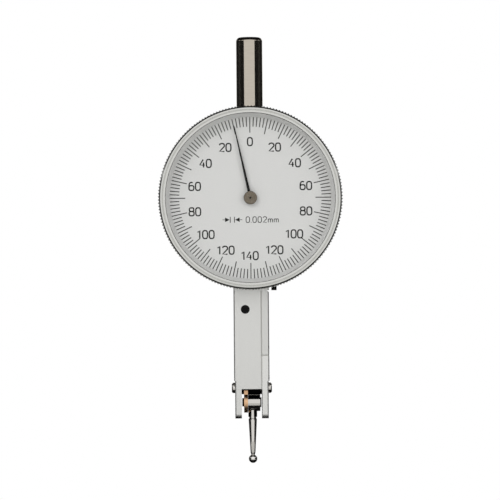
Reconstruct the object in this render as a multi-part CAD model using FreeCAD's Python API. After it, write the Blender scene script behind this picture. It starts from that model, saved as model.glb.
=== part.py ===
import FreeCAD, Part
import math
import os

# Lever-type dial test indicator that reads 0.002 mm. All lengths are in millimetres.
# The stem runs up along +Z, the dial faces -Y and +X is to the reader's right.
# The origin is on the stem's axis, at the shoulder where the stem meets the bar.

# Stem
stem_r = 3.0
stem_length = 21.0
stem_tip_round = 0.9
spigot_r = 2.0
spigot_length = 6.0

# Bar with its fork
bar_width = 8.0
bar_depth = 9.0
bar_edge = 0.25
seam_edge = 0.14
fork_width = 7.56
fork_tip_round = 1.1
channel_left = 2.32
channel_right = 2.25
channel_depth = 5.6
lever_slot_right = 0.1
lever_slot_foot = 1.4
window_bevel = 0.35
cover_gap = 0.08
cover_corner_height = 0.45
cover_corner_width = 0.6
wheel_pocket_gap = 1.3
wheel_back_gap = 0.5

# Where the main axes lie
dial_drop = 15.6
fulcrum_drop = 58.6
hub_drop = 3.3
fork_reach = 3.5
stylus_reach = 12.8
stylus_x = 0.15
window_front_rise = 2.85
window_rear_rise = 1.7
fork_step_rise = 1.7
cheek_rise = 7.5
stop_rise = 17.9

# Dial head, in the order of its depth in front of the bar
case_r = 19.6
case_wall = 1.2
case_floor = 1.0
case_depth = 4.8
case_slot_left = 0.1
case_slot_right = 0.35
pillar_r = 1.3
pillar_x = 9.0
pillar_height = 3.3
bridge_thickness = 0.8
cock_thickness = 0.8
cock_half_height = 2.5
cock_nose_half = 1.0
cock_inset = 0.2
cock_shoulder = 0.3
cock_wheel_gap = 0.1
dial_gap = 0.35
dial_thickness = 0.4
dial_ring_height = 1.85
dial_ring_wall = 0.25
dial_ring_slope = 0.85
crystal_thickness = 1.0
bezel_standoff = 2.5
bezel_bore_gap = 0.1
bezel_rim_gap = 0.15
bezel_wall = 1.02
seat_step = 0.5
lip_thickness = 0.4
lip_overlap = 0.25
knurl_depth = 0.22
knurl_base = 0.3
knurl_teeth = 180
knurl_width = 4.6
shoulder_step = 0.27
shoulder_bevel = 0.45
face_land = 0.69
face_groove = 0.2
retainer_width = 1.3
retainer_thickness = 0.4
wire_width = 0.4
wire_height = 0.4
wire_play = 0.05

# Movement
sector_module = 0.15
crown_pinion_leaves = 12
sector_teeth = 7
crown_module = 0.12
crown_teeth = 85
pointer_pinion_leaves = 11
gear_backlash = 0.035
pressure_angle = 20.0
crown_inset = 2.3
crown_face = 0.4
crown_web = 0.4
crown_web_gap = 0.14
crown_hub_length = 0.5
tooth_root = 0.05
pinion_overlap = 0.16
pinion_half_length = 0.45
lever_left = 1.79
lever_thickness = 0.87
lever_half_width = 0.95
sector_margin = 0.1
sector_rim = 0.6
sector_neck = 2.2
fulcrum_boss_r = 1.6
neck_half_width = 1.5
eye_r = 2.35
barrel_r = 2.0
barrel_length = 2.79
hub_screw_r = 0.7
hub_head_r = 1.1
hub_nut_r = 0.95
hub_nut_height = 0.41
hub_head_gap = 0.1
hub_recess = 0.33
hub_recess_play = 0.12
washer_thickness = 0.2
washer_play = 0.01
fulcrum_r = 0.55
pivot_r = 0.35
pivot_screw_r = 0.8
pivot_head_r = 1.2
pivot_head = 0.77
pivot_dome = 0.25
side_pivot = 0.9
side_bore = 1.0
fine_pivot_r = 0.2
front_pivot_r = 0.25
rear_pivot = 0.3
bush_web = 0.1
bush_r = 0.6
crown_bush_r = 0.8
bearing_play = 0.02
end_play = 0.06
stop_gap = 0.22
arbor_r = 0.4
pointer_length = 16.4
pointer_thickness = 0.15
pointer_root = 0.65
pointer_tip = 0.2
pointer_rest = 12.4
pointer_rise = 0.65
boss_r = 1.5
boss_height = 0.35
boss_bevel = 0.15
boss_tube_r = 0.6
boss_tube_length = 0.3
boss_play = 0.05
arbor_in_boss = 0.15
hairspring_turns = 3
hairspring_pitch = 0.42
hairspring_strip = 0.08
hairspring_height = 0.45
hairspring_gap = 0.25
hairspring_stud_width = 0.6
collet_r = 0.81

# Stylus
collar_r = 1.0
collar_length = 3.3
neck_r = 0.8
neck_length = 0.35
cone_r = 0.975
cone_bevel = 0.12
cone_tip_r = 0.56
cone_foot = 1.35
pin_r = 0.39
pin_shoulder = 0.87
pin_foot = 0.45
ball_r = 0.98
stud_r = 0.5
stud_length = 1.1

# Screws
screw_r = 0.45
screw_head_r = 0.75
screw_head = 0.4
screw_slot = 0.22
screw_grip = 1.5
tap_spare = 0.15
wall_screw_margin = 1.8
wall_screw_length = 2.4
case_screw_r = 0.8
case_screw_head_r = 1.3
case_screw_head = 0.6
case_screw_length = 2.9
stop_screw_r = 1.0
friction_screw_r = 0.6
stop_thread_inset = 0.1
friction_screw_x = 5.16

# Heights and depths that follow from the sizes above
skirt_r = case_r + bezel_bore_gap
seat_r = skirt_r - seat_step
bezel_lip_r = seat_r - lip_overlap
face_groove_r = bezel_lip_r + face_land
knurl_r = skirt_r + bezel_wall
knurl_root_r = knurl_r - knurl_depth
shoulder_r = knurl_r - shoulder_step

bar_half = bar_width / 2
bar_front = -bar_depth / 2
bar_back = bar_depth / 2
fork_half = fork_width / 2
dial_z = -dial_drop
fulcrum_z = -fulcrum_drop
hub_z = fulcrum_z - hub_drop
fork_z = hub_z - fork_reach
ball_z = hub_z - stylus_reach
window_front_z = hub_z + window_front_rise
window_rear_z = hub_z + window_rear_rise
fork_step_z = fulcrum_z + fork_step_rise
cheek_top_z = fulcrum_z + cheek_rise
cover_top_z = dial_z - knurl_r - cover_gap
stop_z = fulcrum_z + stop_rise
wall_screw_y = (bar_depth + channel_depth) / 4

floor_y = bar_front - case_floor
rim_y = bar_front - case_depth
bridge_back_y = floor_y - pillar_height
bridge_front_y = bridge_back_y - bridge_thickness
dial_back_y = bridge_front_y - dial_gap
dial_front_y = dial_back_y - dial_thickness
crystal_back_y = dial_front_y - dial_ring_height
crystal_front_y = crystal_back_y - crystal_thickness
bezel_front_y = crystal_front_y - lip_thickness
bezel_back_y = bar_front - bezel_standoff
pointer_y = dial_front_y - pointer_rise
boss_y = pointer_y - pointer_thickness
arbor_end_y = boss_y - arbor_in_boss
cock_front_y = bar_front - cock_thickness
hairspring_y = bridge_back_y + hairspring_gap

crown_pinion_r = sector_module * crown_pinion_leaves / 2
crown_r = crown_module * crown_teeth / 2
pointer_pinion_r = crown_module * pointer_pinion_leaves / 2
crown_y = bar_front + crown_inset
arm_length = math.hypot(crown_y, dial_z - fulcrum_z)
arm_tilt = math.degrees(math.asin(-crown_y / arm_length))
sector_r = arm_length - crown_pinion_r
crown_root_x = pointer_pinion_r + 1.25 * crown_module
crown_outer_r = crown_r + crown_face / 2
crown_web_x = crown_root_x + crown_web_gap
pocket_half = crown_outer_r + wheel_pocket_gap
pinion_mid_y = crown_y - crown_r
lever_right = lever_thickness - lever_left
barrel_left_x = lever_right + bearing_play
barrel_right_x = barrel_left_x + barrel_length
hub_recess_x = barrel_right_x - hub_recess
washer_right_x = hub_recess_x + washer_thickness
lever_mid_x = lever_thickness / 2 - lever_left
cock_screw_x = -(bar_half + channel_left) / 2
pillar_xs = [-pillar_x, pillar_x]


def vec(x, y, z):
    return FreeCAD.Vector(x, y, z)


def box(x0, x1, y0, y1, z0, z1):
    return Part.makeBox(x1 - x0, y1 - y0, z1 - z0, vec(x0, y0, z0))


def rod_x(r, x0, x1, y, z):
    return Part.makeCylinder(r, x1 - x0, vec(x0, y, z), vec(1, 0, 0))


def rod_y(r, y0, y1, x, z):
    return Part.makeCylinder(r, y1 - y0, vec(x, y0, z), vec(0, 1, 0))


def rod_z(r, z0, z1, x, y):
    return Part.makeCylinder(r, z1 - z0, vec(x, y, z0), vec(0, 0, 1))


def closed_face(points):
    return Part.Face(Part.makePolygon(points + points[:1]))


def prism_x(outline, x0, x1):
    """Extrudes an outline of (y, z) points from x0 to x1."""
    return closed_face([vec(x0, y, z) for y, z in outline]).extrude(vec(x1 - x0, 0, 0))


def prism_y(outline, y0, y1):
    """Extrudes an outline of (x, z) points from y0 to y1."""
    return closed_face([vec(x, y0, z) for x, z in outline]).extrude(vec(0, y1 - y0, 0))


def prism_z(outline, z0, z1):
    """Extrudes an outline of (x, y) points from z0 to z1."""
    return closed_face([vec(x, y, z0) for x, y in outline]).extrude(vec(0, 0, z1 - z0))


def turned_y(profile, angle=360):
    """Turns a profile of (radius, y) points about the dial's axis."""
    face = closed_face([vec(r, y, dial_z) for r, y in profile])
    return face.revolve(vec(0, 0, dial_z), vec(0, 1, 0), angle)


def turned_z(profile, x):
    """Turns a profile of (radius, z) points about an upright axis at x."""
    return closed_face([vec(x + r, 0, z) for r, z in profile]).revolve(vec(x, 0, 0), vec(0, 0, 1), 360)


def edges_where(shape, test):
    return [edge for edge in shape.Edges if test(edge)]


def joined(first, *others):
    return first.fuse(list(others)).removeSplitter()


def screw(head_r, head_height, shank_r, length, position, towards):
    """A slotted cheese-head screw with the underside of its head at position, facing towards."""
    shape = rod_z(head_r, 0, head_height, 0, 0).fuse(rod_z(shank_r, -length, 0, 0, 0))
    depth = 0.45 * head_height
    shape = shape.cut(box(-2 * head_r, 2 * head_r, -screw_slot / 2, screw_slot / 2,
                          head_height - depth, head_height + 1))
    turn = FreeCAD.Rotation(vec(0, 0, 1), towards)
    shape.Placement = FreeCAD.Placement(position, turn)
    return shape


def flush_screw(r, length, position, towards):
    """A headless slotted screw whose slotted end is at position, facing towards."""
    shape = rod_z(r, -length, 0, 0, 0)
    shape = shape.cut(box(-2 * r, 2 * r, -screw_slot / 2, screw_slot / 2, -0.4 * r, 1))
    shape.Placement = FreeCAD.Placement(position, FreeCAD.Rotation(vec(0, 0, 1), towards))
    return shape


def involute(angle):
    return math.tan(angle) - angle


def flank_angle(r, pitch_r, base_r, pitch_half):
    """Half the angle that a tooth takes up at radius r."""
    pressure = math.radians(pressure_angle)
    here = math.acos(min(1.0, base_r / r))
    return pitch_half + involute(pressure) - involute(here)


def tooth(module, pitch_r, centre):
    """Points of one involute tooth round the angle centre, as (radius, angle) from root to root."""
    base_r = pitch_r * math.cos(math.radians(pressure_angle))
    pitch_half = (math.pi * module / 2 - gear_backlash) / (2 * pitch_r)
    radii = [pitch_r - 1.25 * module, pitch_r, pitch_r + 0.85 * module]
    halves = [flank_angle(max(r, base_r), pitch_r, base_r, pitch_half) for r in radii]
    rising = [(r, centre - half) for r, half in zip(radii, halves)]
    falling = [(r, centre + half) for r, half in zip(reversed(radii), reversed(halves))]
    return rising + falling


def pinion_outline(module, leaves, start):
    """A pinion's outline as (a, b) points round its axis, with a gap at the angle start."""
    pitch_r = module * leaves / 2
    step = 2 * math.pi / leaves
    polar = []
    for i in range(leaves):
        polar += tooth(module, pitch_r, start + (i + 0.5) * step)
    return [(r * math.cos(angle), r * math.sin(angle)) for r, angle in polar]


# Bar, cover, cheek and stem

def bevelled_bar(half_width, z0, z1):
    """An upright bar with its four long edges bevelled."""
    x, y, e = half_width, bar_back, bar_edge
    return prism_z([(x - e, -y), (x, e - y), (x, y - e), (x - e, y),
                    (e - x, y), (-x, y - e), (-x, e - y), (e - x, -y)], z0, z1)


def bar_form():
    """The outside of the bar and fork as one blank, before it is divided and hollowed."""
    bar = bevelled_bar(bar_half, fork_step_z, 0)
    fork = bevelled_bar(fork_half, fork_z, fork_step_z)
    envelope = Part.makeBox(2 * bar_half, bar_depth, -fork_z, vec(-bar_half, bar_front, fork_z))
    tips = edges_where(envelope, lambda e: e.BoundBox.ZMax < fork_z + 1e-6 and e.BoundBox.XLength > 1)
    envelope = envelope.makeFillet(fork_tip_round, tips)
    top = edges_where(envelope, lambda e: e.BoundBox.ZMin > -1e-6)
    envelope = envelope.makeChamfer(bar_edge, top)
    return joined(bar, fork).common(envelope)


def seam_edges():
    """What the broken edges along the joints between bar, cover and cheek take away."""
    x, z, e = channel_right, cheek_top_z, seam_edge
    cuts = [prism_y([(bar_half, z - e), (bar_half, z + e), (bar_half - e, z)], bar_front, bar_back)]
    for y, inner in ((bar_front, bar_front + e), (bar_back, bar_back - e)):
        cuts.append(prism_z([(x - e, y), (x + e, y), (x, inner)], fork_z, cover_top_z))
        cuts.append(prism_x([(y, z - e), (y, z + e), (inner, z)], x, bar_half))
    return cuts


def cover_screw_places():
    return [(-wall_screw_y, cheek_top_z + wall_screw_margin),
            (wall_screw_y, cover_top_z - wall_screw_margin)]


def cheek_screw_places():
    return [(-wall_screw_y, fork_step_z + 0.5 * wall_screw_margin),
            (wall_screw_y, cheek_top_z - wall_screw_margin)]


def case_screw_places():
    """Two beside the stem, half-way down to the wheel pocket, and one half-way below it."""
    upper = (dial_z + pocket_half) / 2
    lower = (dial_z - pocket_half + cover_top_z) / 2
    return [(-0.6 * bar_half, upper), (0.6 * bar_half, upper), (0.55 * bar_half, lower)]


def side_screws(places):
    length = wall_screw_length
    return [screw(screw_head_r, screw_head, screw_r, length,
                  vec(bar_half - screw_head, y, z), vec(1, 0, 0)) for y, z in places]


def side_screw_holes(places):
    holes = []
    for y, z in places:
        holes.append(rod_x(screw_r, bar_half - screw_head - wall_screw_length, bar_half, y, z))
        holes.append(rod_x(screw_head_r, bar_half - screw_head, bar_half + 1, y, z))
    return holes


def body_frame():
    """The milled bar: stem bore above, wheel pocket behind the dial, lever channel and left fork arm."""
    half_channel = channel_depth / 2
    pocket_top = dial_z + pocket_half
    pocket_bottom = dial_z - pocket_half
    slot_bottom = cover_top_z + lever_slot_foot
    cuts = [
        box(channel_right, bar_half + 1, bar_front - 1, bar_back + 1, fork_z - 1, cover_top_z),
        box(-channel_left, channel_right + 1, -half_channel, half_channel, fork_z - 1, cover_top_z),
        box(-channel_left, lever_slot_right, -half_channel, half_channel,
            cover_top_z - 1, pocket_bottom + 1),
        box(-channel_left, lever_slot_right, bar_front - 1, 0, slot_bottom, pocket_bottom + 1),
        box(-channel_left, channel_right, bar_front - 1, crown_y + crown_outer_r + wheel_back_gap,
            pocket_bottom, pocket_top),
        box(-channel_left, channel_right + 1, bar_front - 1, 0, fork_z - 1, window_front_z),
        box(-channel_left, channel_right + 1, 0, bar_back + 1, fork_z - 1, window_rear_z),
        prism_x([(bar_front - 0.01, window_front_z - 0.01),
                 (bar_front + window_bevel, window_front_z - 0.01),
                 (bar_front - 0.01, window_front_z + window_bevel)], -channel_left, channel_right + 1),
        rod_z(spigot_r, -spigot_length, 1, 0, 0),
        rod_x(crown_bush_r, -bar_half - 1, bar_half + 1, crown_y, dial_z),
        rod_x(pivot_screw_r, -bar_half - 1, -channel_left + 1, 0, fulcrum_z),
        rod_y(stop_screw_r, bar_front - 1, -half_channel + 1, lever_mid_x, stop_z),
        rod_y(stop_screw_r, half_channel - 1, bar_back + 1, lever_mid_x, stop_z),
        rod_y(screw_r, bar_front - 1, bar_front + screw_grip + tap_spare, cock_screw_x, dial_z),
    ]
    shank = case_screw_length - case_floor
    for x, z in case_screw_places():
        cuts.append(rod_y(case_screw_r, bar_front - 1, bar_front + shank, x, z))
    cuts += side_screw_holes(cover_screw_places() + cheek_screw_places())
    return bar_form().cut(cuts + seam_edges())


def side_cover():
    """The plate that closes the lever channel, with its top outer corner cut off."""
    blank = bar_form().common(box(channel_right, bar_half + 1, bar_front - 1, bar_back + 1,
                                  cheek_top_z, cover_top_z))
    corner = prism_y([(bar_half, cover_top_z), (bar_half, cover_top_z - cover_corner_height),
                      (bar_half - cover_corner_width, cover_top_z)], bar_front, bar_back)
    return blank.cut([corner] + side_screw_holes(cover_screw_places()) + seam_edges())


def fork_cheek():
    """The right fork arm, screwed on below the cover so that the lever can be put in."""
    blank = bar_form().common(box(channel_right, bar_half + 1, bar_front - 1, bar_back + 1,
                                  fork_z - 1, cheek_top_z))
    pivot = rod_x(pivot_screw_r, channel_right - 1, bar_half + 1, 0, fulcrum_z)
    return blank.cut([pivot] + side_screw_holes(cheek_screw_places()) + seam_edges())


def stem():
    """The ground clamping stem, rounded at its tip, with a plain spigot fixed in the top of the bar."""
    profile = [(0, -spigot_length), (spigot_r, -spigot_length), (spigot_r, 0), (stem_r, 0)]
    for degrees in range(0, 91, 30):
        turn = math.radians(degrees)
        profile.append((stem_r - stem_tip_round * (1 - math.cos(turn)),
                        stem_length - stem_tip_round * (1 - math.sin(turn))))
    return turned_z(profile + [(0, stem_length)], 0)


# Dial head

def wire_y():
    """Depth of the middle of the wire that keeps the bezel on the case."""
    return (bezel_back_y + rim_y) / 2


def wire_inner_r():
    return (case_r + skirt_r) / 2 - wire_height / 2


def case():
    """The cup on the front of the bar that holds the movement and that the bezel turns on."""
    groove_back = wire_y() + wire_width / 2 + wire_play
    groove_front = wire_y() - wire_width / 2 - wire_play
    groove_r = wire_inner_r() - wire_play
    cup = turned_y([(0, bar_front), (case_r, bar_front), (case_r, groove_back),
                    (groove_r, groove_back), (groove_r, groove_front), (case_r, groove_front),
                    (case_r, rim_y), (case_r - case_wall, rim_y), (case_r - case_wall, floor_y),
                    (0, floor_y)])
    cuts = [box(-bar_half + case_slot_left, channel_right + case_slot_right, floor_y - 1, bar_front + 1,
                dial_z - pocket_half, dial_z + pocket_half),
            rod_z(friction_screw_r, cover_top_z, friction_screw_top_z(),
                  friction_screw_x, friction_screw_y())]
    cuts += [rod_y(case_screw_r, floor_y - 1, bar_front + 1, x, z) for x, z in case_screw_places()]
    cuts += [rod_y(0.5 * pillar_r, floor_y - 1, bar_front + 1, x, dial_z) for x in pillar_xs]
    return cup.cut(cuts)


def case_screws():
    return Part.makeCompound([
        screw(case_screw_head_r, case_screw_head, case_screw_r, case_screw_length,
              vec(x, floor_y, z), vec(0, -1, 0)) for x, z in case_screw_places()])


def friction_screw_y():
    return bezel_back_y + 2 * friction_screw_r


def friction_screw_top_z():
    return dial_z - math.sqrt((case_r - case_wall) ** 2 - friction_screw_x ** 2)


def bezel_friction_screw():
    """The slotted screw in the case's edge, beside the bar, that sets how stiffly the bezel turns."""
    length = friction_screw_top_z() - cover_top_z
    return flush_screw(friction_screw_r, length,
                       vec(friction_screw_x, friction_screw_y(), cover_top_z), vec(0, 0, -1))


def bezel():
    """The knurled outer ring, with a turned groove in its face and a lip that keeps the crystal in."""
    core_r = knurl_root_r - knurl_base
    knurl_front = bezel_back_y - knurl_width
    inner_shoulder = rim_y - bezel_rim_gap
    groove_back = wire_y() + wire_width / 2
    groove_front = wire_y() - wire_width / 2
    groove_r = wire_inner_r() + wire_height
    half = face_groove / 2
    ring = turned_y([(skirt_r, bezel_back_y), (core_r, bezel_back_y), (core_r, knurl_front),
                     (shoulder_r, knurl_front), (shoulder_r, bezel_front_y),
                     (face_groove_r + half, bezel_front_y),
                     (face_groove_r, bezel_front_y + 0.7 * face_groove),
                     (face_groove_r - half, bezel_front_y), (bezel_lip_r, bezel_front_y),
                     (bezel_lip_r, crystal_front_y), (seat_r, crystal_front_y),
                     (seat_r, inner_shoulder), (skirt_r, inner_shoulder), (skirt_r, groove_front),
                     (groove_r, groove_front), (groove_r, groove_back), (skirt_r, groove_back)])
    rim = edges_where(ring, lambda e: e.BoundBox.YMax < bezel_front_y + 1e-6
                      and e.BoundBox.XMax > shoulder_r - 1e-6)
    ring = ring.makeChamfer(shoulder_bevel, rim)
    outline = []
    for i in range(2 * knurl_teeth):
        r = knurl_r if i % 2 else knurl_root_r
        angle = math.pi * i / knurl_teeth
        outline.append((r * math.sin(angle), dial_z + r * math.cos(angle)))
    knurl = prism_y(outline, knurl_front, bezel_back_y)
    knurl = knurl.cut(rod_y(core_r, knurl_front - 1, bezel_back_y + 1, 0, dial_z))
    return joined(ring, knurl)


def bezel_wire():
    """The open spring ring, half in the case and half in the bezel, that lets the bezel turn."""
    inner = wire_inner_r()
    back = wire_y() + wire_width / 2
    front = wire_y() - wire_width / 2
    return turned_y([(inner, back), (inner + wire_height, back), (inner + wire_height, front),
                     (inner, front)], 345)


def crystal():
    return rod_y(seat_r, crystal_front_y, crystal_back_y, 0, dial_z)


def dial_ring():
    """The sloped ring between crystal and dial."""
    return turned_y([(seat_r, crystal_back_y), (seat_r, dial_front_y),
                     (seat_r - dial_ring_wall - dial_ring_slope, dial_front_y),
                     (seat_r - dial_ring_wall, crystal_back_y)])


def dial():
    """The round dial plate, free to turn with the bezel round the pointer's arbor."""
    plate = rod_y(seat_r, dial_front_y, dial_back_y, 0, dial_z)
    return plate.cut(rod_y(2 * arbor_r, dial_front_y - 1, dial_back_y + 1, 0, dial_z))


def dial_retainer():
    """The ring pressed in behind the dial."""
    return turned_y([(seat_r, dial_back_y), (seat_r, dial_back_y + retainer_thickness),
                     (seat_r - retainer_width, dial_back_y + retainer_thickness),
                     (seat_r - retainer_width, dial_back_y)])


# Movement

def bridge_pillars():
    """Two posts riveted into the case floor."""
    posts = []
    for x in pillar_xs:
        post = rod_y(pillar_r, bridge_back_y, floor_y, x, dial_z)
        foot = rod_y(0.5 * pillar_r, floor_y, bar_front, x, dial_z)
        tapped = rod_y(screw_r, bridge_back_y - 1, bridge_back_y + screw_grip + tap_spare, x, dial_z)
        posts.append(joined(post, foot).cut(tapped))
    return Part.makeCompound(posts)


def front_bridge():
    """The bar across the posts that carries the pointer's front bearing."""
    half_width = 2.0 * pillar_r
    left, right = pillar_xs
    bridge = box(left, right, bridge_front_y, bridge_back_y, dial_z - half_width, dial_z + half_width)
    ends = [rod_y(half_width, bridge_front_y, bridge_back_y, x, dial_z) for x in pillar_xs]
    cuts = [rod_y(1.5 * bush_r, bridge_front_y - 1, bridge_back_y + 1, 0, dial_z)]
    for x in pillar_xs:
        cuts.append(rod_y(screw_r, bridge_front_y - 1, bridge_back_y + 1, x, dial_z))
        cuts.append(rod_y(screw_head_r, bridge_front_y - 1, bridge_front_y + screw_head, x, dial_z))
    return joined(bridge, *ends).cut(cuts)


def bridge_screws():
    length = bridge_thickness - screw_head + screw_grip
    return Part.makeCompound([
        screw(screw_head_r, screw_head, screw_r, length,
              vec(x, bridge_front_y + screw_head, dial_z), vec(0, -1, 0)) for x in pillar_xs])


def front_bush():
    bush = rod_y(1.5 * bush_r, bridge_front_y, bridge_back_y, 0, dial_z)
    bore_r = front_pivot_r + bearing_play
    return bush.cut(rod_y(bore_r, bridge_front_y - 1, bridge_back_y + 1, 0, dial_z))


def rear_cock():
    """The plate that reaches from the bar's left wall to the pointer's rear bearing."""
    left = -bar_half + cock_inset
    waist = -channel_left + cock_shoulder
    right = crown_root_x - cock_wheel_gap
    upper, lower = dial_z + cock_half_height, dial_z - cock_half_height
    plate = prism_y([(left, lower), (waist, lower), (right, dial_z - cock_nose_half),
                     (right, dial_z + cock_nose_half), (waist, upper), (left, upper)],
                    cock_front_y, bar_front)
    cuts = [rod_y(bush_r, cock_front_y - 1, bar_front + 1, 0, dial_z),
            rod_y(screw_r, cock_front_y - 1, bar_front + 1, cock_screw_x, dial_z),
            rod_y(screw_head_r, cock_front_y - 1, cock_front_y + screw_head, cock_screw_x, dial_z)]
    return plate.cut(cuts)


def cock_screw():
    return screw(screw_head_r, screw_head, screw_r, cock_thickness - screw_head + screw_grip,
                 vec(cock_screw_x, cock_front_y + screw_head, dial_z), vec(0, -1, 0))


def rear_bush():
    bush = rod_y(bush_r, cock_front_y, bar_front, 0, dial_z)
    return bush.cut(rod_y(fine_pivot_r + bearing_play, cock_front_y - 1, bar_front - bush_web, 0, dial_z))


def crown_bush(side):
    """A bearing bush in the bar's side wall, with a blind bore for the crown arbor's pivot."""
    inner = -channel_left if side < 0 else channel_right
    outer = side * bar_half
    bush = rod_x(crown_bush_r, min(inner, outer), max(inner, outer), crown_y, dial_z)
    bore_end = inner + side * side_bore
    bore = rod_x(fine_pivot_r + bearing_play, min(inner - side, bore_end), max(inner - side, bore_end),
                 crown_y, dial_z)
    return bush.cut(bore)


def crown_arbor():
    """The cross arbor, with the pinion that the lever's toothed sector drives cut on it."""
    left = -channel_left + end_play
    right = channel_right - end_play
    gap_angle = math.atan2(fulcrum_z - dial_z, -crown_y)
    outline = [(crown_y + a, dial_z + b)
               for a, b in pinion_outline(sector_module, crown_pinion_leaves, gap_angle)]
    pinion = prism_x(outline, -lever_left - pinion_overlap, lever_right + pinion_overlap)
    body = rod_x(arbor_r, left, right, crown_y, dial_z)
    pivots = rod_x(fine_pivot_r, left - side_pivot, right + side_pivot, crown_y, dial_z)
    return joined(body, pinion, pivots)


def crown_wheel():
    """The face wheel that turns the cross arbor's motion into the pointer's."""
    tip_x = pointer_pinion_r - 0.85 * crown_module
    back_x = crown_web_x + crown_web
    rim_inner = crown_r - crown_face / 2
    rim = rod_x(crown_outer_r, crown_root_x, back_x, crown_y, dial_z)
    rim = rim.cut(rod_x(rim_inner, crown_root_x - 1, crown_web_x, crown_y, dial_z))
    hub = rod_x(2 * arbor_r, crown_web_x, back_x + crown_hub_length, crown_y, dial_z)
    wheel = joined(rim, hub).cut(rod_x(arbor_r, 0, back_x + 1, crown_y, dial_z))
    slope = math.tan(math.radians(pressure_angle))
    pitch_half = (math.pi * crown_module / 2 - gear_backlash) / 2
    root_x = crown_root_x + tooth_root
    tip_half = pitch_half - (pointer_pinion_r - tip_x) * slope
    root_half = pitch_half + (root_x - pointer_pinion_r) * slope
    profile = [(tip_x, -tip_half), (tip_x, tip_half), (root_x, root_half), (root_x, -root_half)]
    rim_inset = 0.02
    outer_end = crown_y - crown_outer_r + rim_inset
    face = closed_face([vec(x, outer_end, dial_z + z) for x, z in profile])
    one_tooth = face.extrude(vec(0, crown_face - 2 * rim_inset, 0))
    teeth = []
    for i in range(crown_teeth):
        copy = one_tooth.copy()
        copy.rotate(vec(0, crown_y, dial_z), vec(1, 0, 0), 360 * i / crown_teeth)
        teeth.append(copy)
    return wheel.fuse(teeth)


def pointer_arbor():
    """The pointer's spindle, with its pinion cut on it and long enough to pass through the dial."""
    outline = [(a, dial_z + b) for a, b in pinion_outline(crown_module, pointer_pinion_leaves, 0.0)]
    pinion = prism_y(outline, pinion_mid_y - pinion_half_length, pinion_mid_y + pinion_half_length)
    rear = rod_y(fine_pivot_r, cock_front_y - rear_pivot, bar_front - bush_web - end_play, 0, dial_z)
    body = rod_y(arbor_r, bridge_back_y + end_play, cock_front_y - end_play, 0, dial_z)
    front = rod_y(front_pivot_r, arbor_end_y, bridge_back_y + 1, 0, dial_z)
    return joined(body, pinion, rear, front)


def hairspring():
    """A flat spiral of half-circle arcs on two centres, from the collet out to the stud."""
    y = hairspring_y
    half = hairspring_strip / 2
    walls = {}
    for side in (-1, 1):
        arcs = []
        for k in range(2 * hairspring_turns):
            r = collet_r + half + side * half + k * hairspring_pitch / 2
            x = 0 if k % 2 == 0 else hairspring_pitch / 2
            way = 1 if k % 2 == 0 else -1
            arcs.append(Part.Arc(vec(x + way * r, y, dial_z), vec(x, y, dial_z + way * r),
                                 vec(x - way * r, y, dial_z)).toShape())
        walls[side] = arcs
    starts = [walls[s][0].firstVertex(True).Point for s in (-1, 1)]
    ends = [walls[s][-1].lastVertex(True).Point for s in (-1, 1)]
    caps = [Part.makeLine(starts[0], starts[1]), Part.makeLine(ends[0], ends[1])]
    wire = Part.Wire(Part.__sortEdges__(walls[-1] + walls[1] + caps))
    return Part.Face(wire).extrude(vec(0, hairspring_height, 0))


def hairspring_end_x():
    """Where the spiral ends, on the side of its start."""
    return collet_r + hairspring_strip / 2 + hairspring_turns * hairspring_pitch


def hairspring_stud():
    """The post under the bridge that holds the spiral's outer end."""
    inner = hairspring_end_x() + hairspring_strip / 2
    half = hairspring_stud_width / 2
    return box(inner, inner + hairspring_stud_width, bridge_back_y, hairspring_y + hairspring_height,
               dial_z - half, dial_z + half)


def hairspring_collet():
    collet = rod_y(collet_r, hairspring_y, hairspring_y + hairspring_height, 0, dial_z)
    return collet.cut(rod_y(arbor_r, hairspring_y - 1, hairspring_y + 1, 0, dial_z))


def pointer():
    """The flat tapered hand, with an eye that sits on the boss."""
    eye = rod_y(0.8 * boss_r, boss_y, pointer_y, 0, dial_z)
    blade = prism_y([(-pointer_root / 2, dial_z), (pointer_root / 2, dial_z),
                     (pointer_tip / 2, dial_z + pointer_length),
                     (-pointer_tip / 2, dial_z + pointer_length)], boss_y, pointer_y)
    hand = joined(eye, blade).cut(rod_y(boss_tube_r, boss_y - 1, pointer_y + 1, 0, dial_z))
    hand.rotate(vec(0, 0, dial_z), vec(0, 1, 0), -pointer_rest)
    return hand


def pointer_boss():
    """The turned boss that grips the arbor and covers the hand's eye."""
    front = boss_y - boss_height
    tube_end = pointer_y + boss_tube_length
    mouth_r = front_pivot_r + boss_play
    return turned_y([(front_pivot_r, tube_end), (boss_tube_r, tube_end), (boss_tube_r, boss_y),
                     (boss_r, boss_y), (boss_r, front + boss_bevel), (boss_r - boss_bevel, front),
                     (mouth_r, front), (mouth_r, arbor_end_y), (front_pivot_r, arbor_end_y)])


# Lever

def arm_y(z):
    """Depth of the lever arm's middle line at a height."""
    return crown_y * (z - fulcrum_z) / (dial_z - fulcrum_z)


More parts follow.
